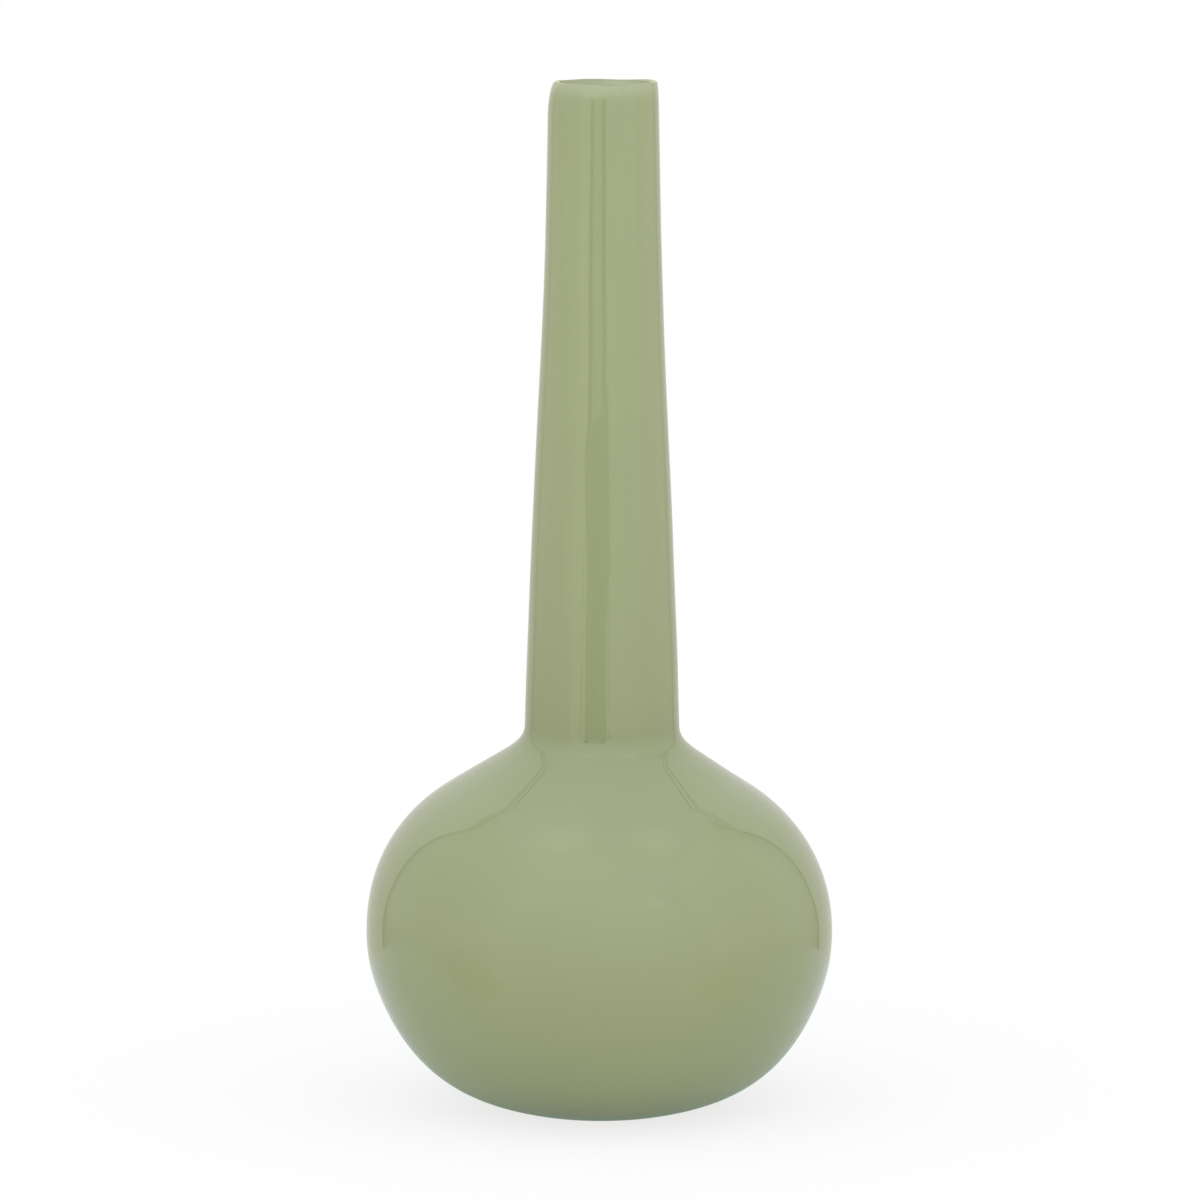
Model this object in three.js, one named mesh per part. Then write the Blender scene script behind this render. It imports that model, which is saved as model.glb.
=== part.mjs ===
import * as THREE from 'three';
import { mergeVertices } from 'three/addons/utils/BufferGeometryUtils.js';

// A mouth-blown glass bud vase: one wall of glass from the foot to the lip.
// Millimetres and degrees, +Z up, foot on Z = 0, the bowl's widest circle centred on the Z axis.

// Overall sizes
const height = 305;
const bowlRadius = 69.4;
const bowlLevel = 52;
const lipRadius = 16.4;

// Foot: a flat ring, pushed up inside it, with a hollow ground out where the rod was broken off
const footRadius = 28;
const footRingWidth = 10;
const kickHeight = 3;
const kickAngle = 45;
const groundRadius = 9;
const groundDepth = 0.8;

// Lower bowl: a shallow heel rises from the foot to the haunch, where the side turns upright
const heelAngle = 14.5;
const haunchInset = 4.9;
const haunchDrop = 21.8;
const haunchAngle = 66;

// Shoulder and neck: a straight shoulder runs into the neck's root through a hollow fillet
const shoulderAngle = 32.6;
const shoulderLength = 22.5;
const rootRadius = 23;
const rootLevel = 114;
const rootFillet = 8.4;
const rootTaper = 1.8;
const neckTaper = 0.8;

// Lip: drawn in outside over its last stretch, and melted round inside
const lipDraw = 12;
const lipMelt = 2;

// Thickness of the glass
const lipWall = 3.3;
const neckWall = 3.6;
const bowlWall = 3.2;
const haunchWall = 4.4;
const baseThickness = 8;

// Handle lengths of each curve, as shares of the straight line between its ends
const heelPull = [0.24, 0.52];
const sidePull = [0.42, 0.29];
const crownPull = [0.56, 0.12];
const neckPull = [0.56, 0.43];
const floorPull = [0.36, 0.5];
const kickPull = [0.3, 0.3];

// Hand-made drift: how far each level stands off the Z axis, towards +X
const footDrift = 0.5;
const shoulderDrift = -0.55;
const rootDrift = 0.8;
const neckDrift = 1.2;
const crestDrift = 2.1;

// Hand-made lip: its sides stand higher than its front and back, with a faint ripple
const lipSaddle = 0.2;
const lipRipple = 0.1;
const rippleCount = 5;

// Fineness of the mesh
const segments = 60;
const groundSteps = 2;
const kickSteps = 3;
const heelSteps = 7;
const sideSteps = 4;
const crownSteps = 8;
const shoulderSteps = 3;
const filletSteps = 4;
const neckSteps = 8;
const lipSteps = 5;
const meltSteps = 3;
const floorSteps = 6;

const { degToRad, smoothstep, clamp, lerp } = THREE.MathUtils;
const outside = outsideStretches();

// A point of the section: its radius and its level
function point(radius, level) {
  return new THREE.Vector2(radius, level);
}

// A step of some length, at an angle turned up from straight outward
function step(angle, length) {
  return point(Math.cos(degToRad(angle)), Math.sin(degToRad(angle))).multiplyScalar(length);
}

// A curve that leaves one point at one angle and arrives at another point at another angle
function bow(from, fromAngle, to, toAngle, [fromPull, toPull]) {
  const span = from.distanceTo(to);
  const leaving = from.clone().add(step(fromAngle, fromPull * span));
  const arriving = to.clone().sub(step(toAngle, toPull * span));
  return new THREE.CubicBezierCurve(from, leaving, arriving, to);
}

// An arc of an ellipse about a centre, between two turns from straight outward
function arc(centre, width, rise, fromTurn, toTurn) {
  const clockwise = toTurn < fromTurn;
  return new THREE.EllipseCurve(
    centre.x, centre.y, width, rise, degToRad(fromTurn), degToRad(toTurn), clockwise);
}

// The outside of the glass, from the foot's edge up to the crest of the lip
function outsideStretches() {
  const foot = point(footRadius, 0);
  const haunch = point(bowlRadius - haunchInset, bowlLevel - haunchDrop);
  const equator = point(bowlRadius, bowlLevel);
  const root = point(rootRadius, rootLevel);
  const filletCentre = root.clone().add(step(rootTaper, rootFillet));
  const filletFoot = filletCentre.clone().add(step(270 - shoulderAngle, rootFillet));
  const shoulder = filletFoot.clone().add(step(-shoulderAngle, shoulderLength));
  const neckTop = point(lipRadius, height - lipDraw);
  const lipCentre = point(lipRadius - lipWall / 2, height - lipDraw);
  return {
    heel: bow(foot, heelAngle, haunch, haunchAngle, heelPull),
    side: bow(haunch, haunchAngle, equator, 90, sidePull),
    crown: bow(equator, 90, shoulder, 180 - shoulderAngle, crownPull),
    shoulder: new THREE.LineCurve(shoulder, filletFoot),
    fillet: arc(filletCentre, rootFillet, rootFillet, 270 - shoulderAngle, 180 + rootTaper),
    neck: bow(root, 90 + rootTaper, neckTop, 90 + neckTaper, neckPull),
    lip: arc(lipCentre, lipWall / 2, lipDraw, 0, 90),
  };
}

// The points of a curve, without its last, which the next curve starts at
function stretch(curve, steps) {
  return curve.getPoints(steps).slice(0, -1);
}

// Points inside a stretch of the outside, by a wall that eases from one thickness to another.
// The hidden side takes half the steps.
function inset(curve, outsideSteps, fromWall, toWall) {
  const steps = Math.ceil(outsideSteps / 2);
  return curve.getPoints(steps).slice(1).map((outer, i) => {
    const share = (i + 1) / steps;
    const along = curve.getTangent(share);
    const wall = lerp(fromWall, toWall, smoothstep(share, 0, 1));
    return outer.add(point(-along.y, along.x).multiplyScalar(wall));
  });
}

// The underside, from its centre out to the inner edge of the flat ring
function undersidePoints() {
  const centre = point(0, kickHeight + groundDepth);
  const groundEdge = point(groundRadius, kickHeight);
  const ringEdge = point(footRadius - footRingWidth, 0);
  const hollow = new THREE.QuadraticBezierCurve(centre, point(groundRadius / 2, centre.y), groundEdge);
  const kick = bow(groundEdge, 0, ringEdge, -kickAngle, kickPull);
  return [...stretch(hollow, groundSteps), ...kick.getPoints(kickSteps)];
}

// The outside, from the foot's edge to the crest of the lip
function outsidePoints() {
  return [
    ...stretch(outside.heel, heelSteps),
    ...stretch(outside.side, sideSteps),
    ...stretch(outside.crown, crownSteps),
    ...stretch(outside.shoulder, shoulderSteps),
    ...stretch(outside.fillet, filletSteps),
    ...stretch(outside.neck, neckSteps),
    ...stretch(outside.lip, lipSteps),
  ];
}

// The inside, from the crest of the lip down to the centre of the floor
function insidePoints() {
  const lipCentre = point(lipRadius - lipWall / 2, height - lipMelt);
  const melt = arc(lipCentre, lipWall / 2, lipMelt, 90, 180);
  const wall = [
    ...inset(outside.side, sideSteps, haunchWall, bowlWall),
    ...inset(outside.crown, crownSteps, bowlWall, bowlWall),
    ...inset(outside.shoulder, shoulderSteps, bowlWall, neckWall),
    ...inset(outside.fillet, filletSteps, neckWall, neckWall),
    ...inset(outside.neck, neckSteps, neckWall, lipWall),
  ];
  const haunch = outside.side.v0.clone().add(step(haunchAngle + 90, haunchWall));
  const floorCentre = point(0, kickHeight + groundDepth + baseThickness);
  const floor = bow(haunch, haunchAngle + 180, floorCentre, 180, floorPull);
  return [...melt.getPoints(meltSteps), ...wall.reverse(), ...floor.getPoints(floorSteps)];
}

// How far the lip's last stretch has been climbed at a level, from 0 to 1
function lipShare(level) {
  return clamp((level - (height - lipDraw)) / lipDraw, 0, 1);
}

// The drift of a level, eased between the levels where the form changes
function drift(level) {
  const stops = [
    [0, footDrift],
    [bowlLevel, 0],
    [outside.shoulder.v1.y, shoulderDrift],
    [rootLevel, rootDrift],
    [height - lipDraw, neckDrift],
  ];
  let offset = footDrift;
  for (let i = 1; i < stops.length; i++) {
    const [from, fromDrift] = stops[i - 1];
    const [to, toDrift] = stops[i];
    offset += (toDrift - fromDrift) * smoothstep(level, from, to);
  }
  const drawn = 1 - Math.sqrt(1 - lipShare(level) ** 2);
  return offset + (crestDrift - neckDrift) * drawn;
}

// How far the crest of the lip dips at a turn about the Z axis from the front
function lipDip(turn) {
  const saddle = lipSaddle * (1 + Math.cos(2 * turn));
  const ripple = lipRipple * (1 + Math.sin(rippleCount * turn));
  return saddle + ripple;
}

// One closed wall of glass, turned about the Z axis and then given its hand-made unevenness
function vesselGeometry() {
  const section = [...undersidePoints(), ...outsidePoints(), ...insidePoints()];
  const lathe = new THREE.LatheGeometry(section, segments).rotateX(Math.PI / 2);
  lathe.deleteAttribute('normal');
  lathe.deleteAttribute('uv');
  const geometry = mergeVertices(lathe);
  const position = geometry.attributes.position;
  for (let i = 0; i < position.count; i++) {
    const x = position.getX(i);
    const y = position.getY(i);
    const z = position.getZ(i);
    position.setX(i, x + drift(z));
    position.setZ(i, z - lipDip(Math.atan2(x, -y)) * lipShare(z) ** 2);
  }
  geometry.computeVertexNormals();
  return geometry;
}

const sageGlass = new THREE.MeshStandardMaterial({ color: '#929a71', roughness: 0.04, metalness: 0 });

const vessel = new THREE.Mesh(vesselGeometry(), sageGlass);
vessel.name = 'glass_vessel';

const budVase = new THREE.Group();
budVase.add(vessel);

export default budVase;
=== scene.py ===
import math

import bpy
import numpy as np
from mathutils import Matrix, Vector, noise


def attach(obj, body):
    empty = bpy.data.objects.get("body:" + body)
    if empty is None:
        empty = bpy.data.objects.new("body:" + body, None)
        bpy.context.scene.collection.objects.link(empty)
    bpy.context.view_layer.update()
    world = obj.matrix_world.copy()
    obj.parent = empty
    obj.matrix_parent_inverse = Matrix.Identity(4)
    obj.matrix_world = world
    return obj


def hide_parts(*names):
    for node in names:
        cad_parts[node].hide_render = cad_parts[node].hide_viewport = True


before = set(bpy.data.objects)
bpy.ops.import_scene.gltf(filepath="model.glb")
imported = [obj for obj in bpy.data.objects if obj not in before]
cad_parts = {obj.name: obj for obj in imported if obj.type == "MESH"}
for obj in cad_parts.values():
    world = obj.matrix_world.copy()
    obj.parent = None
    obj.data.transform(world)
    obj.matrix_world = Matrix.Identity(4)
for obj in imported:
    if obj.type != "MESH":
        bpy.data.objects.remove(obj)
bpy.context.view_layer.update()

# A mouth-blown glass bud vase, rebuilt finely on the CAD's own sizes and looked at in a light tent.
# Metres and degrees, +Z up, foot on Z = 0, photographed from -Y.
MM = 0.001

# Overall sizes
HEIGHT = 305 * MM
BOWL_RADIUS = 69.4 * MM
BOWL_LEVEL = 52 * MM
LIP_RADIUS = 16.4 * MM

# Foot: a flat ring, pushed up inside it, with a hollow ground out in the middle
FOOT_RADIUS = 28 * MM
FOOT_RING_WIDTH = 10 * MM
KICK_HEIGHT = 3 * MM
KICK_ANGLE = 45
GROUND_RADIUS = 9 * MM
GROUND_DEPTH = 0.8 * MM

# Lower bowl
HEEL_ANGLE = 14.5
HAUNCH_INSET = 4.9 * MM
HAUNCH_DROP = 21.8 * MM
HAUNCH_ANGLE = 66

# Shoulder and neck
SHOULDER_ANGLE = 32.6
SHOULDER_LENGTH = 22.5 * MM
ROOT_RADIUS = 23 * MM
ROOT_LEVEL = 114 * MM
ROOT_FILLET = 8.4 * MM
# The blown fillet starts softly, this far before the arc's own start
FILLET_ONSET = 5 * MM
ROOT_TAPER = 1.8
NECK_TAPER = 0.8

# Lip
LIP_DRAW = 12 * MM
LIP_MELT = 2 * MM

# Thickness of the glass
LIP_WALL = 3.3 * MM
NECK_WALL = 3.6 * MM
BOWL_WALL = 3.2 * MM
HAUNCH_WALL = 4.4 * MM
BASE_THICKNESS = 8 * MM

# Handle lengths of each curve, as shares of the straight line between its ends
HEEL_PULL = (0.24, 0.52)
SIDE_PULL = (0.42, 0.29)
CROWN_PULL = (0.56, 0.12)
FILLET_PULL = (0.52, 0.32)
NECK_PULL = (0.56, 0.43)
FLOOR_PULL = (0.36, 0.5)
KICK_PULL = (0.3, 0.3)

# Hand-made drift: how far each level stands off the Z axis, towards +X
FOOT_DRIFT = 0.5 * MM
SHOULDER_DRIFT = -0.55 * MM
ROOT_DRIFT = 0.8 * MM
NECK_DRIFT = 1.2 * MM
CREST_DRIFT = 2.1 * MM

# Hand-made lip
LIP_SADDLE = 0.2 * MM
LIP_RIPPLE = 0.1 * MM
RIPPLE_COUNT = 5

# Hand-made waviness, longer along the drawn neck. It dies out at the foot, the widest circle and the lip.
NECK_WAVE = 0.13 * MM
NECK_WAVE_LENGTH = 16 * MM
NECK_WAVE_STRETCH = 2
BOWL_WAVE = 0.08 * MM
BOWL_WAVE_LENGTH = 60 * MM
WAVE_PLACE = Vector((3.1, 7.7, 1.9))
# How far from each of those places the waves reach their full height
ROOT_WAVE_RISE = 20 * MM
LIP_WAVE_RISE = 6 * MM
EQUATOR_WAVE_RISE = 30 * MM
FOOT_WAVE_RISE = 20 * MM

# Fineness of the mesh, and the angle from which an edge shows
SEGMENTS = 192
SHARP_ANGLE = 35
# Rows of the mesh along each stretch of the section: under and outside, then inside
ROWS = {"ground": 8, "kick": 12, "ring": 4, "heel": 40, "side": 20, "crown": 44, "shoulder": 11,
        "fillet": 32, "neck": 70, "lip": 24, "melt": 12}
INNER_ROWS = {"floor": 24, "side": 8, "crown": 20, "shoulder": 6, "fillet": 10, "neck": 40}
# The share of a curve, before and after a point, over which its direction there is taken
NUDGE = 1e-4


def step(angle, length):
    """A step of some length, at an angle turned up from straight outward."""
    return length * np.array([math.cos(math.radians(angle)), math.sin(math.radians(angle))])


def bow(start, start_angle, end, end_angle, pull):
    """A curve that leaves one point at one angle and arrives at another point at another angle."""
    span = np.linalg.norm(end - start)
    leaving = start + step(start_angle, pull[0] * span)
    arriving = end - step(end_angle, pull[1] * span)

    def at(t):
        u = 1 - t
        return u**3 * start + 3 * u * u * t * leaving + 3 * u * t * t * arriving + t**3 * end
    return at


def line(start, end):
    """A straight stretch."""
    return lambda t: start + (end - start) * t


def arc(centre, width, rise, start_turn, end_turn):
    """An arc of an ellipse about a centre, between two turns from straight outward."""
    def at(t):
        turn = math.radians(start_turn + (end_turn - start_turn) * t)
        return centre + np.array([width * math.cos(turn), rise * math.sin(turn)])
    return at


def sampled(curve, steps):
    """Points of a curve, without its first, which the curve before it ends at."""
    return [curve((i + 1) / steps) for i in range(steps)]


def smooth(t):
    """A soft climb from 0 to 1."""
    t = min(max(t, 0.0), 1.0)
    return t * t * (3 - 2 * t)


def inset(curve, steps, start_wall, end_wall):
    """Points inside a stretch of the outside, by a wall that eases from one thickness to another."""
    points = []
    for i in range(steps):
        share = (i + 1) / steps
        along = curve(min(share + NUDGE, 1)) - curve(share - NUDGE)
        along /= np.linalg.norm(along)
        wall = start_wall + (end_wall - start_wall) * smooth(share)
        points.append(curve(share) + wall * np.array([-along[1], along[0]]))
    return points


def outside_stretches():
    """The outside of the glass, from the foot's edge up to the crest of the lip."""
    foot = np.array([FOOT_RADIUS, 0])
    haunch = np.array([BOWL_RADIUS - HAUNCH_INSET, BOWL_LEVEL - HAUNCH_DROP])
    equator = np.array([BOWL_RADIUS, BOWL_LEVEL])
    root = np.array([ROOT_RADIUS, ROOT_LEVEL])
    fillet_centre = root + step(ROOT_TAPER, ROOT_FILLET)
    fillet_foot = fillet_centre + step(270 - SHOULDER_ANGLE, ROOT_FILLET)
    fillet_start = fillet_foot + step(-SHOULDER_ANGLE, FILLET_ONSET)
    shoulder = fillet_foot + step(-SHOULDER_ANGLE, SHOULDER_LENGTH)
    neck_top = np.array([LIP_RADIUS, HEIGHT - LIP_DRAW])
    lip_centre = np.array([LIP_RADIUS - LIP_WALL / 2, HEIGHT - LIP_DRAW])
    return {
        "heel": bow(foot, HEEL_ANGLE, haunch, HAUNCH_ANGLE, HEEL_PULL),
        "side": bow(haunch, HAUNCH_ANGLE, equator, 90, SIDE_PULL),
        "crown": bow(equator, 90, shoulder, 180 - SHOULDER_ANGLE, CROWN_PULL),
        "shoulder": line(shoulder, fillet_start),
        "fillet": bow(fillet_start, 180 - SHOULDER_ANGLE, root, 90 + ROOT_TAPER, FILLET_PULL),
        "neck": bow(root, 90 + ROOT_TAPER, neck_top, 90 + NECK_TAPER, NECK_PULL),
        "lip": arc(lip_centre, LIP_WALL / 2, LIP_DRAW, 0, 90),
    }


def underside_points():
    """The underside, from its middle out to the foot's edge."""
    ground_top = np.array([0, KICK_HEIGHT + GROUND_DEPTH])
    ground_edge = np.array([GROUND_RADIUS, KICK_HEIGHT])
    ground_slope = 2 * math.degrees(GROUND_DEPTH / GROUND_RADIUS)
    ring_edge = np.array([FOOT_RADIUS - FOOT_RING_WIDTH, 0])
    foot_edge = np.array([FOOT_RADIUS, 0])
    points = [ground_top]
    points += sampled(bow(ground_top, 0, ground_edge, -ground_slope, KICK_PULL), ROWS["ground"])
    points += sampled(bow(ground_edge, 0, ring_edge, -KICK_ANGLE, KICK_PULL), ROWS["kick"])
    points += sampled(line(ring_edge, foot_edge), ROWS["ring"])
    return points


def inside_points(outside):
    """The inside of the glass, from the melted lip down to the middle of the floor."""
    lip_centre = np.array([LIP_RADIUS - LIP_WALL / 2, HEIGHT - LIP_MELT])
    points = sampled(arc(lip_centre, LIP_WALL / 2, LIP_MELT, 90, 180), ROWS["melt"])
    walls = {"side": (HAUNCH_WALL, BOWL_WALL), "crown": (BOWL_WALL, BOWL_WALL),
             "shoulder": (BOWL_WALL, NECK_WALL), "fillet": (NECK_WALL, NECK_WALL),
             "neck": (NECK_WALL, LIP_WALL)}
    climbing = []
    for name, (start_wall, end_wall) in walls.items():
        climbing += inset(outside[name], INNER_ROWS[name], start_wall, end_wall)
    haunch = outside["side"](0) + step(HAUNCH_ANGLE + 90, HAUNCH_WALL)
    floor_centre = np.array([0, KICK_HEIGHT + GROUND_DEPTH + BASE_THICKNESS])
    floor = bow(haunch, HAUNCH_ANGLE + 180, floor_centre, 180, FLOOR_PULL)
    return points + climbing[::-1] + [haunch] + sampled(floor, INNER_ROWS["floor"])


def section_points():
    """The closed section: underside, outside, lip, inside and floor, from axis to axis."""
    outside = outside_stretches()
    points = underside_points()
    for name, curve in outside.items():
        points += sampled(curve, ROWS[name])
    return points + inside_points(outside)


def lip_share(level):
    """How far the lip's last stretch has been climbed at a level, from 0 to 1."""
    return min(max((level - (HEIGHT - LIP_DRAW)) / LIP_DRAW, 0.0), 1.0)


def drift(level, shoulder_level):
    """The drift of a level, eased between the levels where the form changes."""
    stops = [(0, FOOT_DRIFT), (BOWL_LEVEL, 0), (shoulder_level, SHOULDER_DRIFT),
             (ROOT_LEVEL, ROOT_DRIFT), (HEIGHT - LIP_DRAW, NECK_DRIFT)]
    offset = FOOT_DRIFT
    for (low, low_drift), (high, high_drift) in zip(stops, stops[1:]):
        offset += (high_drift - low_drift) * smooth((level - low) / (high - low))
    drawn = 1 - math.sqrt(1 - lip_share(level) ** 2)
    return offset + (CREST_DRIFT - NECK_DRIFT) * drawn


def lip_dip(turn):
    """How far the crest of the lip dips at a turn about the Z axis from the front."""
    return LIP_SADDLE * (1 + math.cos(2 * turn)) + LIP_RIPPLE * (1 + math.sin(RIPPLE_COUNT * turn))


def wave(x, y, level):
    """How far the glass is drawn in at a place."""
    climb = smooth((level - ROOT_LEVEL) / ROOT_WAVE_RISE)
    on_neck = climb * smooth((HEIGHT - level) / LIP_WAVE_RISE)
    off_equator = smooth(abs(level - BOWL_LEVEL) / EQUATOR_WAVE_RISE)
    on_bowl = off_equator * smooth(level / FOOT_WAVE_RISE) * (1 - climb)
    neck_place = Vector((x, y, level / NECK_WAVE_STRETCH)) / NECK_WAVE_LENGTH
    bowl_place = Vector((x, y, level)) / BOWL_WAVE_LENGTH
    neck = NECK_WAVE * on_neck * noise.noise(neck_place + WAVE_PLACE)
    bowl = BOWL_WAVE * on_bowl * noise.noise(bowl_place + WAVE_PLACE)
    return neck + bowl


def turned_faces(rings, bottom, top):
    """The faces between rings of vertices, closed by one vertex at the bottom and one at the top."""
    faces = []
    for r in range(rings - 1):
        for s in range(SEGMENTS):
            a = r * SEGMENTS + s
            b = r * SEGMENTS + (s + 1) % SEGMENTS
            faces.append((a, b, b + SEGMENTS, a + SEGMENTS))
    last = (rings - 1) * SEGMENTS
    for s in range(SEGMENTS):
        t = (s + 1) % SEGMENTS
        faces.append((bottom, t, s))
        faces.append((top, last + s, last + t))
    return faces


def vessel_mesh(name):
    """One closed wall of glass, turned about the Z axis and then given its hand-made unevenness."""
    section = section_points()
    shoulder_level = outside_stretches()["shoulder"](0)[1]
    rings = section[1:-1]
    verts = []
    for radius, level in rings:
        off = drift(level, shoulder_level)
        climb = lip_share(level) ** 2
        for s in range(SEGMENTS):
            turn = 2 * math.pi * s / SEGMENTS
            across, along = math.sin(turn), -math.cos(turn)
            drawn = radius - wave(radius * across, radius * along, level)
            verts.append((drawn * across + off, drawn * along, level - lip_dip(turn) * climb))
    bottom = len(verts)
    verts.append((FOOT_DRIFT, 0, section[0][1]))
    top = len(verts)
    verts.append((drift(section[-1][1], shoulder_level), 0, section[-1][1]))
    mesh = bpy.data.meshes.new(name)
    mesh.from_pydata(verts, [], turned_faces(len(rings), bottom, top))
    mesh.validate()
    mesh.shade_smooth()
    mesh.set_sharp_from_angle(angle=math.radians(SHARP_ANGLE))
    return mesh


def placed(name, data):
    """An object of a mesh or a camera, in the scene."""
    piece = bpy.data.objects.new(name, data)
    bpy.context.scene.collection.objects.link(piece)
    return piece


class Nodes:
    """A short way to write a node tree."""

    def __init__(self, material):
        material.use_nodes = True
        self.tree = material.node_tree
        self.tree.nodes.clear()

    def add(self, kind, settings=None, **inputs):
        """A node. Each input goes by its name, or by i and its number."""
        node = self.tree.nodes.new(kind)
        for key, value in (settings or {}).items():
            setattr(node, key, value)
        for key, value in inputs.items():
            numbered = key[0] == "i" and key[1:].isdigit()
            socket = node.inputs[int(key[1:]) if numbered else key.replace("_", " ")]
            if isinstance(value, bpy.types.NodeSocket):
                self.tree.links.new(value, socket)
            else:
                socket.default_value = value
        return node

    def math(self, operation, a, b=0.0):
        return self.add("ShaderNodeMath", {"operation": operation}, i0=a, i1=b).outputs[0]

    def span(self, value, low, high, out_low=0.0, out_high=1.0, kind="SMOOTHSTEP"):
        """A value's climb from low to high, written as one from out_low to out_high."""
        limits = {"From_Min": low, "From_Max": high, "To_Min": out_low, "To_Max": out_high}
        node = self.add("ShaderNodeMapRange", {"interpolation_type": kind}, Value=value, **limits)
        return node.outputs[0]

    def blend(self, share, first, second):
        """The first colour where the share is 0, the second where it is 1."""
        return self.add("ShaderNodeMix", {"data_type": "RGBA"}, i0=share, i6=first, i7=second).outputs[2]

    def vector(self, operation, **inputs):
        return self.add("ShaderNodeVectorMath", {"operation": operation}, **inputs)

    def scaled(self, colour, factor):
        return self.vector("SCALE", i0=colour, Scale=factor).outputs[0]

    def distance(self, place, centre):
        return self.vector("DISTANCE", i0=place, i1=centre).outputs["Value"]

    def from_axis(self, place, drift):
        """The distance from the upright axis that stands off the middle by a drift."""
        flat = self.vector("MULTIPLY_ADD", i0=place, i1=(1, 1, 0), i2=(-drift, 0, 0))
        return self.vector("LENGTH", i0=flat.outputs[0]).outputs["Value"]

    def grain(self, place, scale, detail=2.0):
        """Soft noise about 0.5, with about this many waves to the metre."""
        return self.add("ShaderNodeTexNoise", Vector=place, Scale=scale, Detail=detail).outputs[0]

    def shade_with(self, shader):
        self.add("ShaderNodeOutputMaterial", Surface=shader)


# The glass: its own sage green; the paler green of the melted lip, partly its thin glass and partly
# painted light through it; and the green inside the mouth, which is painted light through the glass
SAGE = (0.287, 0.323, 0.165, 1)
PALE_SAGE = (0.356, 0.388, 0.226, 1)
MOUTH_PAINTED_LIGHT = (0.5, 0.55, 0.335, 1)
# Its tone at each level, as a share of the plain green: darker at the foot and at the neck's root,
# paler up the neck. It is painted shade at the foot and in the crease of the neck's root, and painted
# light from above up the neck
PAINTED_SHADE_BY_LEVEL = [(0, 0.9), (13 * MM, 0.985), (95 * MM, 1.01), (106 * MM, 1.0), (110 * MM, 0.965),
         (112 * MM, 0.93), (114 * MM, 0.945), (116 * MM, 0.965), (124 * MM, 0.985),
         (170 * MM, 1.02), (230 * MM, 1.05), (300 * MM, 1.06)]
# The lip turns pale from the first of these depths under the crest up to the second
LIP_FADE = 5.5 * MM
LIP_PALE = 1.2 * MM
# The mouth's painted light reaches this deep, ends this far under the crest, and turns over the
# middle of the wall's thickness within this much to either side
MOUTH_FADE = 25 * MM
MOUTH_RIM = 0.8 * MM
MOUTH_TURN = 0.5 * MM
# The very crest has painted shade in a spot at the back, from the first of these depths up to the second
CREST_LOW = 1.1 * MM
CREST_HIGH = 0.5 * MM
CREST_SHADE_TONE = 0.9
CREST_SHADE_SPOT = (-1.2 * MM, 14.4 * MM, HEIGHT)
CREST_SHADE_CORE = 3.5 * MM
CREST_SHADE_REACH = 8.5 * MM
# Seeds of air in the glass, seen as small dark flecks: their places and radii, then their look
FLECKS = [((34.6 * MM, -47 * MM, 14.6 * MM), 0.45 * MM), ((-3.9 * MM, -23 * MM, 112.5 * MM), 0.5 * MM)]
FLECK_CORE = 0.4
FLECK_TONE = 0.72
# Soft clouds all over, and fine streaks drawn out along the neck, which fade in above its root.
# Scales are in waves to the metre.
CLOUD_SCALE = 22
CLOUD_TONE = 0.015
STREAK_SCALE = 260
STREAK_SQUEEZE = 0.03
STREAK_TONE = 0.015
STREAK_HEIGHT = 0.006 * MM
STREAK_RISE = 30 * MM
# The range of the noise that makes them
GRAIN_LOW = 0.3
GRAIN_HIGH = 0.7
# The fire's polish, where the surface is cleanest and where it is smudged
POLISHED = 0.02
SMUDGED = 0.035
SMUDGE_SCALE = 45
SMUDGE_DETAIL = 4.0
SMUDGE_LOW = 0.4
SMUDGE_HIGH = 0.7
# The foot's ring, worn by standing: how rough, how far up, and how far past its edge
WORN_ROUGHNESS = 0.35
WORN_HEIGHT = 0.4 * MM
WORN_EDGE = 1 * MM
# The ground hollow in its middle, rough and gritty, with a sharp edge, and only under these levels
GROUND_ROUGHNESS = 0.6
GROUND_EDGE = 0.3 * MM
GROUND_LEVELS = (6 * MM, 5 * MM)
GRIT_SCALE = 3000
GRIT_HEIGHT = 0.04 * MM
GLASS_IOR = 1.5


def painted_shade_at_level(n, level):
    """The painted shade and light at a level. The ramp holds half of each tone, so that none is over 1."""
    ramp = n.add("ShaderNodeValToRGB", Fac=n.math("DIVIDE", level, HEIGHT))
    stops = ramp.color_ramp.elements
    while len(stops) < len(PAINTED_SHADE_BY_LEVEL):
        stops.new(0.5)
    for stop, (height, tone) in zip(stops, PAINTED_SHADE_BY_LEVEL):
        stop.position = height / HEIGHT
        stop.color = (tone / 2, tone / 2, tone / 2, 1)
    return n.math("MULTIPLY", ramp.outputs["Color"], 2.0)


def glass_tone(n, place, level, streak, on_neck):
    """How light or dark the green is: its painted shade and light at each level, with its clouds, streaks
    and flecks.
    """
    cloud = n.grain(place, CLOUD_SCALE)
    clouds = n.span(cloud, GRAIN_LOW, GRAIN_HIGH, 1 - CLOUD_TONE, 1 + CLOUD_TONE, "LINEAR")
    streaks = n.span(streak, GRAIN_LOW, GRAIN_HIGH, -STREAK_TONE, STREAK_TONE, "LINEAR")
    tone = n.math("MULTIPLY", painted_shade_at_level(n, level), clouds)
    tone = n.math("ADD", tone, n.math("MULTIPLY", streaks, on_neck))
    for centre, radius in FLECKS:
        fleck = n.span(n.distance(place, centre), radius * FLECK_CORE, radius, FLECK_TONE, 1.0)
        tone = n.math("MULTIPLY", tone, fleck)
    return tone


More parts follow.
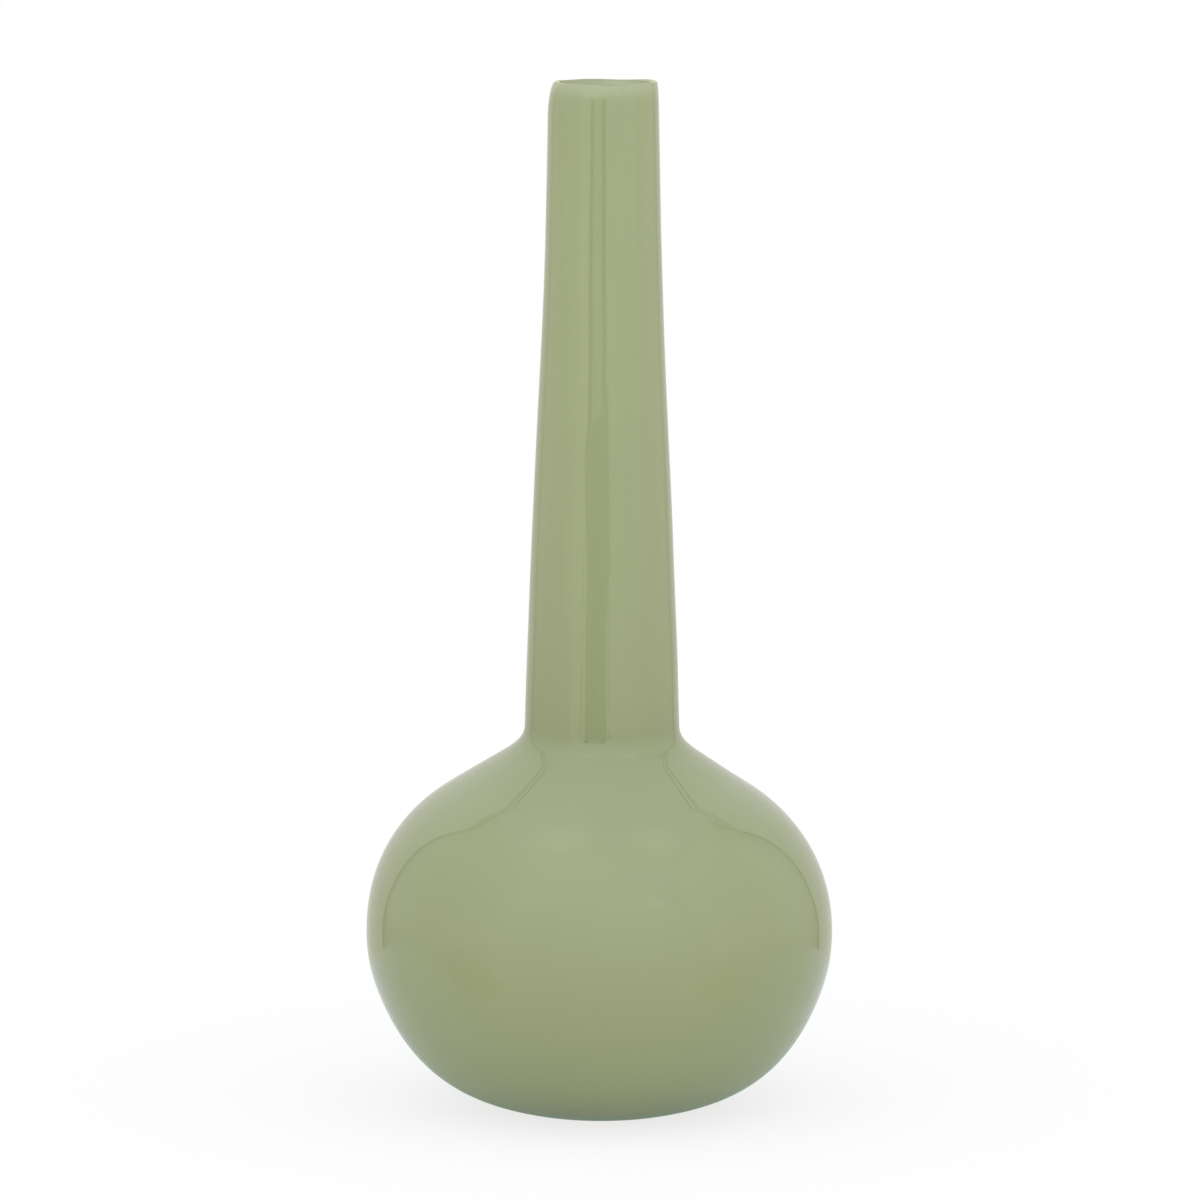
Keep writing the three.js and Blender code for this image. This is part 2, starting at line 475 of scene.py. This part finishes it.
def glass_colour(n, place, level, tone):
    """Green in its tone: lip paler, partly by painted light; painted light in the mouth; painted shade at
    the crest's back.
    """
    pale = n.span(level, HEIGHT - LIP_FADE, HEIGHT - LIP_PALE)
    colour = n.blend(pale, n.scaled(SAGE[:3], tone), PALE_SAGE)
    # Painted light inside the mouth, standing in for light through the glass
    wall_middle = LIP_RADIUS - LIP_WALL / 2
    off_centre = n.from_axis(place, NECK_DRIFT)
    inner = n.span(off_centre, wall_middle + MOUTH_TURN, wall_middle - MOUTH_TURN)
    mouth_light = n.math("MULTIPLY", inner, n.span(level, HEIGHT - MOUTH_FADE, HEIGHT - LIP_FADE))
    mouth_light = n.math("MULTIPLY", mouth_light, n.span(level, HEIGHT - MOUTH_RIM, HEIGHT - LIP_MELT))
    colour = n.blend(mouth_light, colour, MOUTH_PAINTED_LIGHT)
    # Painted shade in a spot at the back of the crest
    crest_shade_spot = n.span(n.distance(place, CREST_SHADE_SPOT), CREST_SHADE_REACH, CREST_SHADE_CORE)
    crest_shade = n.math("MULTIPLY", n.span(level, HEIGHT - CREST_LOW, HEIGHT - CREST_HIGH), crest_shade_spot)
    return n.scaled(colour, n.span(crest_shade, 0.0, 1.0, 1.0, CREST_SHADE_TONE, "LINEAR"))


def glass_roughness(n, place, level, off_centre, ground):
    """Polished by the fire and faintly smudged, worn at the foot's ring, rough in the ground hollow."""
    smudges = n.grain(place, SMUDGE_SCALE, SMUDGE_DETAIL)
    rough = n.span(smudges, SMUDGE_LOW, SMUDGE_HIGH, POLISHED, SMUDGED)
    on_ring = n.span(off_centre, FOOT_RADIUS + WORN_EDGE, FOOT_RADIUS)
    worn = n.math("MULTIPLY", n.span(level, WORN_HEIGHT, 0), on_ring)
    rough = n.math("MAXIMUM", rough, n.math("MULTIPLY", worn, WORN_ROUGHNESS))
    return n.math("MAXIMUM", rough, n.math("MULTIPLY", ground, GROUND_ROUGHNESS))


def glass_relief(n, place, streak, on_neck, ground):
    """The faint relief of the drawn streaks, and the grit of the ground hollow."""
    drawn_waves = n.math("MULTIPLY", n.math("MULTIPLY", streak, on_neck), STREAK_HEIGHT)
    grit = n.math("MULTIPLY", n.math("MULTIPLY", n.grain(place, GRIT_SCALE), ground), GRIT_HEIGHT)
    height = n.math("ADD", drawn_waves, grit)
    return n.add("ShaderNodeBump", Strength=1.0, Distance=1.0, Height=height).outputs["Normal"]


def sage_glass():
    """Opaque sage-green glass, blown, drawn and polished by the fire."""
    material = bpy.data.materials.new("sage_glass")
    n = Nodes(material)
    place = n.add("ShaderNodeTexCoord").outputs["Object"]
    level = n.add("ShaderNodeSeparateXYZ", Vector=place).outputs["Z"]
    on_neck = n.span(level, ROOT_LEVEL, ROOT_LEVEL + STREAK_RISE)
    squeezed = n.vector("MULTIPLY", i0=place, i1=(1, 1, STREAK_SQUEEZE)).outputs[0]
    streak = n.grain(squeezed, STREAK_SCALE)
    off_centre = n.from_axis(place, FOOT_DRIFT)
    ground = n.span(off_centre, GROUND_RADIUS + GROUND_EDGE, GROUND_RADIUS - GROUND_EDGE)
    ground = n.math("MULTIPLY", ground, n.span(level, *GROUND_LEVELS))

    tone = glass_tone(n, place, level, streak, on_neck)
    colour = glass_colour(n, place, level, tone)
    rough = glass_roughness(n, place, level, off_centre, ground)
    relief = glass_relief(n, place, streak, on_neck, ground)
    shader = n.add("ShaderNodeBsdfPrincipled", Base_Color=colour, Roughness=rough, IOR=GLASS_IOR,
                   Normal=relief)
    n.shade_with(shader.outputs[0])
    return material


def cloth(name, one_sided=False, added=False):
    """A tent wall's own light: each vertex has the radiance that it sends out.

    One that is one-sided is clear from behind, and one that is added lets through what lies behind it.
    """
    material = bpy.data.materials.new(name)
    n = Nodes(material)
    level = n.add("ShaderNodeAttribute", {"attribute_name": "glow"}).outputs["Color"]
    shader = n.add("ShaderNodeEmission", Color=level, Strength=1.0).outputs[0]
    clear = n.add("ShaderNodeBsdfTransparent").outputs[0]
    if one_sided:
        behind = n.add("ShaderNodeNewGeometry").outputs["Backfacing"]
        shader = n.add("ShaderNodeMixShader", i0=behind, i1=shader, i2=clear).outputs[0]
    if added:
        shader = n.add("ShaderNodeAddShader", i0=shader, i1=clear).outputs[0]
    n.shade_with(shader)
    return material


def panel(name, columns, material, mirrored_only=False):
    """A tent wall from columns of (place, radiance), joined side by side."""
    rows = len(columns[0])
    faces = []
    for c in range(len(columns) - 1):
        for r in range(rows - 1):
            a = c * rows + r
            faces.append((a, a + rows, a + 1 + rows, a + 1))
    mesh = bpy.data.meshes.new(name)
    mesh.from_pydata([place for column in columns for place, _ in column], [], faces)
    level = mesh.attributes.new("glow", "FLOAT_COLOR", "POINT")
    for i, (_, value) in enumerate(v for column in columns for v in column):
        level.data[i].color = (*value, 1)
    mesh.materials.append(material)
    piece = placed(name, mesh)
    piece.visible_camera = False
    if mirrored_only:
        piece.visible_diffuse = False
        piece.visible_shadow = False


def glow(brightness, warmth=0.0):
    """The radiance of a cloth. Warmth takes blue away and adds half as much red."""
    return (brightness * (1 + warmth / 2), brightness, brightness * (1 - warmth))


def between(value, stops):
    """Brightness and warmth at a level between the stops (level, brightness, warmth)."""
    levels = [stop[0] for stop in stops]
    return [float(np.interp(value, levels, [stop[i] for stop in stops])) for i in (1, 2)]


def upright(x, y, stops):
    """One upright edge of a wall, as (place, radiance) from the bottom up."""
    return [((x, y, level), glow(brightness, warmth)) for level, brightness, warmth in stops]


# The light tent, as the glass mirrors it: half its width, its front, back, bottom and top.
# The bottom, the back and the top reach out past the side walls.
TENT_SIDE = 0.965
TENT_FRONT = -0.87
TENT_BACK = 1.05
TENT_BOTTOM = -0.45
TENT_REACH = 1.6
TENT_TOP_LEFT = 1.8
TENT_TOP_RIGHT = 1.54
TENT_PEAK = 2.0

# The light of each wall, as (level, brightness, warmth) from the bottom up
FRONT_LEFT = [(TENT_BOTTOM, 1.18, 0.06), (0.05, 1.27, 0.08), (0.35, 1.45, 0.06), (0.8, 1.43, 0.0),
              (1.3, 1.4, -0.06), (TENT_PEAK, 1.25, -0.12)]
FRONT_RIGHT = [(TENT_BOTTOM, 1.24, 0.05), (0.05, 1.15, 0.02), (0.35, 1.09, -0.06), (0.8, 1.02, -0.2),
               (1.3, 1.15, -0.2), (TENT_PEAK, 1.17, -0.18)]
BACK_LEFT = [(TENT_BOTTOM, 0.73, 0.09), (0.05, 0.78, 0.03), (0.5, 0.91, 0.02), (1.0, 1.02, 0.0),
             (TENT_PEAK, 1.05, 0.0)]
BACK_RIGHT = [(TENT_BOTTOM, 0.75, 0.09), (0.05, 0.79, 0.03), (0.5, 0.84, 0.0), (1.0, 0.96, 0.0),
              (TENT_PEAK, 0.98, -0.02)]
SIDE_LIGHT = {
    -1: [(TENT_BOTTOM, 0.6, 0.12), (-0.2, 0.64, 0.1), (-0.05, 0.74, 0.04), (0.08, 1.0, 0.04),
         (0.35, 0.97, 0.0), (0.9, 1.04, -0.02), (TENT_TOP_LEFT, 1.09, 0.0)],
    1: [(TENT_BOTTOM, 0.7, 0.14), (-0.2, 0.76, 0.12), (-0.05, 0.89, 0.06), (0.08, 1.12, 0.05),
        (0.35, 1.14, 0.02), (0.9, 1.2, 0.0), (TENT_TOP_LEFT, 1.17, 0.0)],
}
BOTTOM_LIGHT = glow(0.76, 0.16)
# A side wall's share of its light at its front edge and towards its seam. At its middle it is 1.
SIDE_FRONT_SHARE = 1.12
SIDE_MIDDLE = -0.2
SIDE_BACK_SHARE = 0.96
# The light of the top, as (place from front to back, brightness, warmth)
TOP_LEFT = [(TENT_FRONT, 1.43, -0.06), (0.0, 1.2, -0.1), (TENT_BACK, 0.86, -0.08)]
TOP_RIGHT = [(TENT_FRONT, 1.19, -0.1), (0.0, 0.82, -0.25), (TENT_BACK, 0.9, -0.03)]

# The upright seam where each side wall ends short of the back wall, as (level, place) from the bottom up
SEAMS = {
    -1: [(TENT_BOTTOM, 0.9), (-0.2, 0.865), (-0.05, 0.855), (0.05, 0.837), (0.16, 0.8), (0.28, 0.775),
         (0.53, 0.76), (0.67, 0.75), (0.84, 0.713), (1.04, 0.64), (1.3, 0.61), (1.57, 0.8),
         (TENT_TOP_LEFT, 0.88)],
    1: [(TENT_BOTTOM, 1.04), (-0.16, 1.02), (-0.07, 0.995), (0.02, 0.97), (0.14, 0.92), (0.37, 0.89),
        (0.5, 0.875), (0.65, 0.84), (0.83, 0.785), (1.02, 0.705), (1.25, 0.68), (TENT_TOP_RIGHT, 0.79)],
}
# The side wall darkens towards its seam, as (distance in front of the seam, share of its light)
SEAM_SHADE = {
    -1: [(0.5, 1.0), (0.3, 0.95), (0.2, 0.89), (0.12, 0.79), (0.07, 0.7), (0.04, 0.52),
         (0.015, 0.2), (0.0, 0.0)],
    1: [(0.65, 1.0), (0.45, 0.93), (0.3, 0.82), (0.2, 0.72), (0.1, 0.62), (0.05, 0.48),
        (0.02, 0.2), (0.0, 0.0)],
}
# The double seam under the top, close to the back wall: the places of its two dark bands, their width,
# their light and how far they hang under the top
BANDS = (0.99, 0.9)
BAND_WIDTH = 0.024
BAND_GLOW = 0.0
BAND_DROP = 0.005

# The opening in the tent's front, left of the middle, as the neck mirrors it. Its upper part has a grey
# cloth between two dark gaps. The cloth's foot climbs from the opening's left edge to its right edge.
OPENING_FOOT = ((-0.5, 0.187), (0.14, 0.207))
OPENING_TOP = 0.5
DARK = 0.25
# It stands this far behind the front wall
OPENING_INSET = 0.01
# The dark lower part, as (level, left edge, right edge)
DARK_EDGES = [(TENT_BOTTOM, -0.41, 0.095), (0.085, -0.41, 0.097), (0.12, -0.39, 0.197), (0.16, -0.51, 0.19)]
# Thin shaded lines beside it, in the same way, and their light
LINE_LEFT = [(TENT_BOTTOM, -0.56, -0.52), (0.067, -0.545, -0.505), (0.13, -0.5, -0.465)]
LINE_RIGHT = [(0.04, 0.13, 0.175), (0.1, 0.13, 0.175)]
LINE_GLOW = 0.5
# The upright strips of its upper part, as (left, right, brightness)
STRIPS = {
    "gap_left": (-0.44, -0.315, 0.0),
    "cloth": (-0.315, -0.04, 0.76),
    "gap_right": (-0.04, 0.08, 0.0),
}
# A white card that hides the opening from the bowl and leaves it in sight of the neck
CARD_PLACE = -0.1
CARD_HALF_WIDTH = 0.09
CARD_LEVELS = [(0.03, 0.93, 0.04), (0.05, 0.98, 0.03), (0.08, 1.2, -0.02), (0.097, 1.28, -0.03)]
# The sleeve: its gap to the neck, its rows along the fillet and the neck, how far it turns to either side
# of the front and in what steps, and its light
SLEEVE_GAP = 0.6 * MM
SLEEVE_FILLET_ROWS = 6
SLEEVE_NECK_ROWS = 12
SLEEVE_TURN = 100
SLEEVE_TURN_STEP = 8
SLEEVE_LIGHT = (1.0, -0.1)
# A grey flag that stands behind the lip, where only reflections see it
FLAG_PLACE = 0.024
FLAG_LEVELS = [(0.3058, 0.44, 0.2), (0.325, 0.5, 0.15)]
# Its upright edges and folds, as (place across, share of its light)
FLAG_FOLDS = [(-0.019, 2.4), (-0.012, 1.9), (-0.007, 1.0), (0.002, 1.0), (0.006, 1.8), (0.018, 1.9)]

# Soft patches of lamplight on the front and the top: centre, radius, brightness, warmth
LAMPS = {
    "lamp_left": ((-0.4, -0.85, 0.7), 0.2, 0.2, 0.4),
    "lamp_right": ((0.53, -0.85, 0.66), 0.2, 0.56, -0.04),
    "lamp_top_left": ((-0.35, -0.19, 1.6), 0.45, 0.5, 0.3),
    "lamp_top_right": ((0.57, -0.13, 1.5), 0.45, 0.6, 0.35),
}
LAMP_RINGS = 8
LAMP_SPOKES = 24

# The board that the vase stands on, as (place across, front edge, back edge), and its tab in front
BOARD = [(-0.94, -0.01, 0.01), (-0.9, -0.055, 0.075), (-0.6, -0.078, 0.135), (-0.3, -0.081, 0.156),
         (0.0, -0.082, 0.165), (0.16, -0.075, 0.17), (0.3, -0.06, 0.16), (0.42, -0.04, 0.113),
         (0.48, 0.03, 0.07)]
TAB_HALF_WIDTH = 0.103
TAB_BACK = -0.081
TAB_FRONT = -0.8
BOARD_LEVEL = -0.4 * MM
TAB_LEVEL = -0.6 * MM
BOARD_WHITE = 0.5
BOARD_LIGHT = (0.31, -0.07)
TAB_LIGHT = (0.35, 0.14)
# The light through the board is painted darker behind the foot, as a painted shadow of the vase,
# and painted green there, as painted light thrown back from the green glass
PAINTED_SHADOW_PLACE = (0, 0.045, 0)
PAINTED_SHADOW_DARK = 0.045
PAINTED_SHADOW_END = 0.112
PAINTED_SHADOW_LIGHT = (0.1, 0.19, 0.12, 1)

# The floor that the camera sees. Its own white clears this share of the vase's shadow near the foot,
# and all of it far out.
FLOOR_REACH = 12.0
FLOOR_LEVEL = -0.2 * MM
FLOOR_WHITE = 0.9
SHADOW_CLEARED = 0.78
SHADOW_NEAR = 0.05
SHADOW_FAR = 0.3

# The photograph's camera, its lens and sensor in millimetres
SENSOR_WIDTH = 36
LENS = 204.65
VIEW_DEPTH = 100
CAMERA_PLACE = (0, -2.0, 0.434)
CAMERA_AIM = (0.0002, 0, 0.15134)


def build_sides(material):
    """The two side walls, each ending in its own dark, wandering seam."""
    for side, name in ((-1, "left"), (1, "right")):
        def column(places, share):
            lit = []
            for (level, _), place in zip(SEAMS[side], places):
                brightness, warmth = between(level, SIDE_LIGHT[side])
                lit.append(((side * TENT_SIDE, place, level), glow(brightness * share, warmth)))
            return lit
        rows = len(SEAMS[side])
        columns = [column([TENT_FRONT] * rows, SIDE_FRONT_SHARE), column([SIDE_MIDDLE] * rows, 1.0)]
        for before, share in SEAM_SHADE[side]:
            places = [place - before for _, place in SEAMS[side]]
            columns.append(column(places, share * SIDE_BACK_SHARE))
        panel(f"tent_{name}", columns, material)


def build_back_and_top(material):
    """The back wall, and the sloping top with its double seam."""
    slope = (TENT_TOP_RIGHT - TENT_TOP_LEFT) / (2 * TENT_SIDE)
    middle = (TENT_TOP_RIGHT + TENT_TOP_LEFT) / 2
    sides = [(-TENT_REACH, BACK_LEFT, TOP_LEFT), (-TENT_SIDE, BACK_LEFT, TOP_LEFT),
             (TENT_SIDE, BACK_RIGHT, TOP_RIGHT), (TENT_REACH, BACK_RIGHT, TOP_RIGHT)]
    panel("tent_back", [upright(x, TENT_BACK, stops) for x, stops, _ in sides], material)
    top = [[((x, y, middle + slope * x), glow(brightness, warmth)) for y, brightness, warmth in stops]
           for x, _, stops in sides]
    panel("tent_top", top, material)
    for i, place in enumerate(BANDS):
        edges = (place - BAND_WIDTH / 2, place + BAND_WIDTH / 2)
        band = []
        for x in (-TENT_REACH, TENT_REACH):
            level = middle + slope * x - BAND_DROP
            band.append([((x, y, level), glow(BAND_GLOW)) for y in edges])
        panel(f"tent_band_{i}", band, material, mirrored_only=True)


def build_opening(material):
    """The opening as the neck mirrors it: dark below, and grey cloth between two dark gaps above."""
    def pane(name, rows, brightness):
        columns = [[((row[side][0], TENT_FRONT + OPENING_INSET, row[side][1]), glow(brightness))
                    for row in rows] for side in (0, 1)]
        panel(f"opening_{name}", columns, material, mirrored_only=True)

    def foot(x):
        (left, low), (right, high) = OPENING_FOOT
        return low + (high - low) * (x - left) / (right - left)
    dark = [((left, level), (right, level)) for level, left, right in DARK_EDGES]
    pane("dark", dark + [OPENING_FOOT], DARK)
    for name, edges in (("line_left", LINE_LEFT), ("line_right", LINE_RIGHT)):
        pane(name, [((left, level), (right, level)) for level, left, right in edges], LINE_GLOW)
    for name, (left, right, brightness) in STRIPS.items():
        rows = [((left, foot(left)), (right, foot(right))), ((left, OPENING_TOP), (right, OPENING_TOP))]
        pane(name, rows, brightness)


def build_sleeve(material):
    """A white sleeve round the neck that only the shoulder sees, so that it mirrors no neck."""
    outside = outside_stretches()
    shoulder_level = outside["shoulder"](0)[1]
    points = sampled(outside["fillet"], SLEEVE_FILLET_ROWS)[1:] + sampled(outside["neck"], SLEEVE_NECK_ROWS)
    columns = []
    for turn in range(-SLEEVE_TURN, SLEEVE_TURN + 1, SLEEVE_TURN_STEP):
        across, along = math.sin(math.radians(turn)), -math.cos(math.radians(turn))
        column = []
        for radius, level in points:
            reach = radius + SLEEVE_GAP
            place = (reach * across + drift(level, shoulder_level), reach * along, level)
            column.append((place, glow(*SLEEVE_LIGHT)))
        columns.append(column)
    panel("tent_sleeve", columns, material, mirrored_only=True)


def build_flag(material):
    """The grey flag, folded so that the far side of the lip mirrors brighter and darker parts."""
    folds = []
    for across, share in FLAG_FOLDS:
        stops = [(level, brightness * share, warmth) for level, brightness, warmth in FLAG_LEVELS]
        folds.append(upright(CREST_DRIFT + across, FLAG_PLACE, stops))
    panel("tent_flag", folds, material, mirrored_only=True)


def build_lamps():
    """Soft round patches, brightest in the middle, laid on the front wall and the top."""
    material = cloth("tent_lamps", added=True)
    for name, (centre, radius, brightness, warmth) in LAMPS.items():
        up = name.startswith("lamp_top")
        columns = []
        for k in range(LAMP_SPOKES + 1):
            turn = 2 * math.pi * k / LAMP_SPOKES
            column = []
            for i in range(LAMP_RINGS + 1):
                share = i / LAMP_RINGS
                across, along = radius * share * math.cos(turn), radius * share * math.sin(turn)
                offset = Vector((across, along, 0)) if up else Vector((across, 0, along))
                column.append((Vector(centre) + offset, glow(brightness * (1 - share**2) ** 2, warmth)))
            columns.append(column)
        panel(f"tent_{name}", columns, material)


def build_tent():
    """The light tent that the glass mirrors. The camera doesn't see it."""
    material = cloth("tent_cloth")
    front = [upright(-TENT_SIDE, TENT_FRONT, FRONT_LEFT), upright(TENT_SIDE, TENT_FRONT, FRONT_RIGHT)]
    panel("tent_front", front, material)
    build_sides(material)
    build_back_and_top(material)
    bottom = [[((x, y, TENT_BOTTOM), BOTTOM_LIGHT) for y in (TENT_FRONT, TENT_BACK)]
              for x in (-TENT_REACH, TENT_REACH)]
    panel("tent_bottom", bottom, material)
    build_opening(material)
    card = [upright(x, CARD_PLACE, CARD_LEVELS) for x in (-CARD_HALF_WIDTH, CARD_HALF_WIDTH)]
    panel("tent_card", card, material, mirrored_only=True)
    one_sided = cloth("tent_one_sided", one_sided=True)
    build_sleeve(one_sided)
    build_flag(one_sided)
    build_lamps()


def paper(name, own_light):
    """White board, with the light that comes through it from below, and the vase's shadow painted into that
    light.
    """
    material = bpy.data.materials.new(name)
    n = Nodes(material)
    place = n.add("ShaderNodeTexCoord").outputs["Object"]
    away = n.distance(place, PAINTED_SHADOW_PLACE)
    cover = n.add("ShaderNodeBsdfDiffuse", Color=(BOARD_WHITE, BOARD_WHITE, BOARD_WHITE, 1)).outputs[0]
    # Painted shadow of the vase in the board's own light, with painted green light near the foot
    light = n.blend(n.span(away, PAINTED_SHADOW_DARK, PAINTED_SHADOW_END), PAINTED_SHADOW_LIGHT, (*own_light, 1))
    through = n.add("ShaderNodeEmission", Color=light, Strength=1.0).outputs[0]
    n.shade_with(n.add("ShaderNodeAddShader", i0=cover, i1=through).outputs[0])
    return material


def build_board():
    """The board under the vase and its tab. They light the glass, and the camera doesn't see them."""
    tab = [(side * TAB_HALF_WIDTH, TAB_FRONT, TAB_BACK) for side in (-1, 1)]
    sheets = (("board", BOARD, BOARD_LEVEL, BOARD_LIGHT), ("tab", tab, TAB_LEVEL, TAB_LIGHT))
    for name, stations, level, own_light in sheets:
        verts = [(x, y, level) for x, front, back in stations for y in (front, back)]
        faces = [(i, i + 2, i + 3, i + 1) for i in range(0, len(verts) - 2, 2)]
        mesh = bpy.data.meshes.new(name)
        mesh.from_pydata(verts, [], faces)
        mesh.materials.append(paper(f"{name}_white", glow(*own_light)))
        piece = placed(name, mesh)
        piece.visible_camera = False


def floor_white():
    """Matt white under the vase, for its soft shadow, that clears to pure white far out."""
    material = bpy.data.materials.new("floor_white")
    n = Nodes(material)
    place = n.add("ShaderNodeTexCoord").outputs["Object"]
    away = n.vector("LENGTH", i0=place).outputs["Value"]
    clear = n.span(away, SHADOW_NEAR, SHADOW_FAR, SHADOW_CLEARED, 1.0)
    lit = n.add("ShaderNodeBsdfDiffuse", Color=(FLOOR_WHITE, FLOOR_WHITE, FLOOR_WHITE, 1)).outputs[0]
    light = n.add("ShaderNodeEmission", Color=(1, 1, 1, 1), Strength=1.0).outputs[0]
    n.shade_with(n.add("ShaderNodeMixShader", i0=clear, i1=lit, i2=light).outputs[0])
    return material


def build_floor():
    """The floor that the camera sees: white, with the vase's soft shadow."""
    mesh = bpy.data.meshes.new("floor")
    corners = ((-1, -1), (1, -1), (1, 1), (-1, 1))
    verts = [(FLOOR_REACH * x, FLOOR_REACH * y, FLOOR_LEVEL) for x, y in corners]
    mesh.from_pydata(verts, [], [(0, 1, 2, 3)])
    mesh.materials.append(floor_white())
    floor = placed("floor", mesh)
    floor.visible_diffuse = False
    floor.visible_glossy = False
    floor.visible_shadow = False


def build_world():
    """Plain white all round."""
    world = bpy.data.worlds.new("white_room")
    bpy.context.scene.world = world
    world.use_nodes = True
    background = world.node_tree.nodes["Background"]
    background.inputs["Color"].default_value = (1, 1, 1, 1)
    background.inputs["Strength"].default_value = 1.0


def build_camera():
    """The camera at the photograph's own angle."""
    data = bpy.data.cameras.new("camera")
    data.sensor_width = SENSOR_WIDTH
    data.lens = LENS
    data.clip_end = VIEW_DEPTH
    camera = placed("camera", data)
    camera.location = CAMERA_PLACE
    sight = Vector(CAMERA_AIM) - camera.location
    camera.rotation_euler = sight.to_track_quat("-Z", "Y").to_euler()
    bpy.context.scene.camera = camera


vessel = placed("blown_vessel", vessel_mesh("blown_vessel"))
vessel.data.materials.append(sage_glass())
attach(vessel, "root")
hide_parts("glass_vessel")

build_tent()
build_board()
build_floor()
build_world()
build_camera()
bpy.context.scene.view_settings.view_transform = "Standard"
